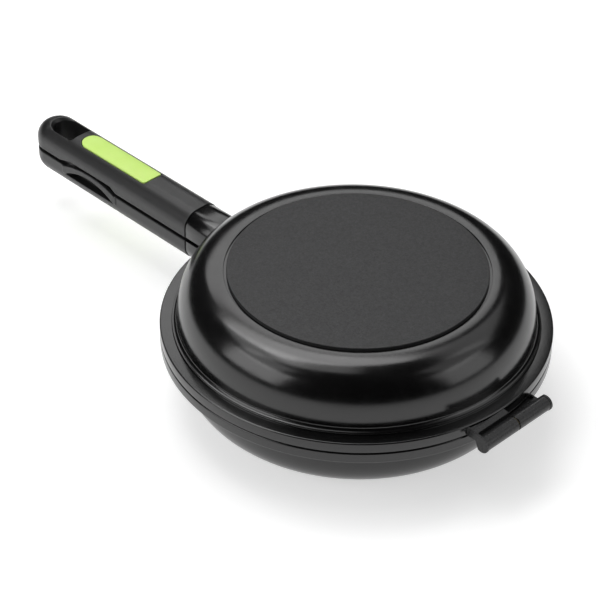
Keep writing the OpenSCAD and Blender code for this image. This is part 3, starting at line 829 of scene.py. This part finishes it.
def end_plate():
    """Plate that closes the outer end of the knuckle, from the rim to round the barrel."""
    r = BARREL_R + PLATE_RIM
    x = RIM_R + LEAF_GAP
    reach = HINGE_X - x
    top = 180 - math.degrees(math.atan2(LEAF_H, reach) + math.acos(r / math.hypot(reach, LEAF_H)))
    points = [(RIM_R - PLATE_IN, LEAF_Z), (RIM_R - PLATE_IN, LEAF_H), (x, LEAF_H)]
    points += arc((HINGE_X, 0), r, top, -90 - PLATE_WRAP, 48)
    points += [(HINGE_X - BARREL_R, LEAF_Z)]
    plate = slab_y("end_plate", points, -KNUCKLE_LEN, PLATE_T - KNUCKLE_LEN)
    rim = cylinder("rim", x, -WIDE, WIDE, (0, 0, 0), n=PAN_SIDES)
    return boolean(plate, [rim], "DIFFERENCE")


def hinge_knuckle():
    """Barrel half with its leaf, end plate and tongue, and the bore for the pin."""
    end = KNUCKLE_LEN - PLATE_T / 2
    profile = [(0, KNUCKLE_Y), (BARREL_R - BARREL_BREAK, KNUCKLE_Y), (BARREL_R, KNUCKLE_Y + BARREL_BREAK),
               (BARREL_R, end), (0, end)]
    # turned about the hinge axis, running out along -Y
    turn = Matrix.Translation((HINGE_X, 0, 0)) @ Matrix.Rotation(math.pi / 2, 4, "X")
    obj = transform(lathe("knuckle", profile, BARREL_SIDES), turn)
    tongue = box("tongue", (RIM_R - TONGUE_IN, TONGUE_INSET - KNUCKLE_LEN, TONGUE_Z - TONGUE_T / 2),
                 (RIM_R + LEAF_W / 2, -KNUCKLE_Y - TONGUE_INSET, TONGUE_Z + TONGUE_T / 2))
    boolean(obj, [leaf(), end_plate(), tongue], "UNION")
    bore = cylinder("bore", BORE_R, -PIN_Y, MM, (HINGE_X, 0, 0), Matrix.Rotation(-math.pi / 2, 4, "X"))
    boolean(obj, [bore], "DIFFERENCE")
    return shade(bevel(obj, SMALL_EDGE), sharp=35)


def screws():
    """Countersunk screws with a cross recess, in the seam face of the rim."""
    depth = SCREW_HEAD_R - SCREW_R
    top = FACE_Z + SCREW_SUNK
    profile = [(0, top), (SCREW_HEAD_R - SCREW_EDGE, top), (SCREW_HEAD_R, top + SCREW_EDGE),
               (SCREW_R, top + depth), (SCREW_R, SCREW_END_Z), (0, SCREW_END_Z)]
    whole = None
    for y in SCREW_YS:
        at = Matrix.Translation((SCREW_X, -y, 0)) @ Matrix.Rotation(y * SCREW_TURN, 4, "Z")
        obj = lathe("screw", profile, BORE_SIDES)
        arms = [box("arm", (-w, -h, -MM), (w, h, top + CROSS_D))
                for w, h in ((CROSS_R, CROSS_HALF_W), (CROSS_HALF_W, CROSS_R))]
        boolean(obj, arms, "DIFFERENCE")
        transform(obj, at)
        whole = obj if whole is None else boolean(whole, [obj], "UNION")
    return shade(bevel(whole, SCREW_BEVEL), sharp=35)


# ------------------------------------------------------------------ stage

def camera():
    """Camera that sees the pan as the photograph does."""
    data = bpy.data.cameras.new("camera")
    data.sensor_fit = "HORIZONTAL"
    data.sensor_width = SENSOR
    data.lens = CAMERA_LENS
    data.clip_start = CAMERA_CLIP
    obj = bpy.data.objects.new("camera", data)
    bpy.context.scene.collection.objects.link(obj)
    look = (CAMERA_AIM - CAMERA_AT).to_track_quat("-Z", "Y").to_matrix().to_4x4()
    obj.matrix_world = Matrix.Translation(CAMERA_AT) @ look @ Matrix.Rotation(CAMERA_ROLL, 4, "Z")
    bpy.context.scene.camera = obj


def soft_box(name, azimuth, elevation, far, size, radiance):
    """Rectangular lamp, far metres from LIGHT_AIM and turned to it; the angles are in degrees."""
    turn = math.radians(azimuth)
    flat = math.cos(math.radians(elevation))
    way = Vector((flat * math.cos(turn), flat * math.sin(turn), math.sin(math.radians(elevation))))
    data = bpy.data.lights.new(name, "AREA")
    data.shape = "RECTANGLE"
    data.size, data.size_y = size
    data.energy = radiance * math.pi * size[0] * size[1]
    obj = bpy.data.objects.new(name, data)
    obj.location = LIGHT_AIM + way * far
    obj.rotation_mode = "QUATERNION"
    obj.rotation_quaternion = (LIGHT_AIM - obj.location).to_track_quat("-Z", "Y")
    bpy.context.scene.collection.objects.link(obj)


def floor_glow(tree, shader_out, strength):
    """Adds a plain white glow where the camera sees the floor, itself or in a reflection."""
    path = add(tree, "ShaderNodeLightPath")
    seen = path.outputs["Is Camera Ray"]
    for name in ("Is Glossy Ray", "Is Transmission Ray"):
        either = add(tree, "ShaderNodeMath", operation="MAXIMUM")
        tree.links.new(seen, either.inputs[0])
        tree.links.new(path.outputs[name], either.inputs[1])
        seen = either.outputs["Value"]
    glow = add(tree, "ShaderNodeEmission", Strength=strength)
    total = add(tree, "ShaderNodeAddShader")
    tree.links.new(shader_out, total.inputs[0])
    tree.links.new(glow.outputs["Emission"], total.inputs[1])
    mix = add(tree, "ShaderNodeMixShader")
    tree.links.new(seen, mix.inputs["Fac"])
    tree.links.new(shader_out, mix.inputs[1])
    tree.links.new(total.outputs["Shader"], mix.inputs[2])
    return mix.outputs["Shader"]


def floor():
    """Pale floor that the pan lies on."""
    obj = box("floor", (-FLOOR_HALF, -FLOOR_HALF, -FLOOR_DEPTH), (FLOOR_HALF, FLOOR_HALF, 0))
    grey = (FLOOR_COLOUR, FLOOR_COLOUR, FLOOR_COLOUR, 1)
    mat, tree, shader = new_material("floor_white", Base_Color=grey, Roughness=FLOOR_ROUGH,
                                     Specular_IOR_Level=0.0)
    out = floor_glow(tree, shader.outputs["BSDF"], FLOOR_GLOW)
    tree.links.new(out, tree.nodes["Material Output"].inputs["Surface"])
    obj.data.materials.append(mat)


def world():
    """Dim grey surroundings, darker on the camera's side, as in a small studio."""
    scene_world = bpy.data.worlds.new("studio")
    bpy.context.scene.world = scene_world
    scene_world.use_nodes = True
    tree = scene_world.node_tree
    camera_side = (CAMERA_AT - CAMERA_AIM).xy.normalized()
    facing = add(tree, "ShaderNodeVectorMath", operation="DOT_PRODUCT")
    facing.inputs[1].default_value = (*camera_side, 0)
    tree.links.new(add(tree, "ShaderNodeTexCoord").outputs["Generated"], facing.inputs[0])
    shade_off = map_range(tree, WORLD_FADE, interpolation_type="SMOOTHSTEP")
    tree.links.new(facing.outputs["Value"], shade_off.inputs["Value"])
    tree.links.new(shade_off.outputs["Result"], tree.nodes["Background"].inputs["Strength"])


# ------------------------------------------------------------------ build

def main():
    """Sets the stage, places what is rebuilt and dresses the rest."""
    scene = bpy.context.scene
    scene.view_settings.view_transform = "Standard"
    camera()
    world()
    for values in SOFT_BOXES:
        soft_box(*values)
    floor()
    steel = zinc_steel()
    place_both(pan(), "casting", [enamel(), nonstick()], "pan")
    place_both(base_disc(), "base_plate", [disc_coat()], "base_disc")
    place_both(ferrule(), "collar", [ferrule_gloss()], "ferrule")
    place_both(grip(), "handle_shell", [grip_plastic()], "grip")
    place_both(inlay(), "soft_inlay", [silicone()], "inlay")
    place_both(hinge_knuckle(), "knuckle", [hinge_satin()], "hinge_knuckle")
    place_both(screws(), "leaf_screws", [steel], "hinge_screws")
    carried = {"tie_rod": steel, "rod_washer": steel, "magnet": magnet_nickel()}
    for half in ("lower", "upper"):
        for node, mat in carried.items():
            dress(f"{half}_{node}", mat)
    dress("hinge_pin", steel)
    dress("hinge_washer", washer_brass())


main()
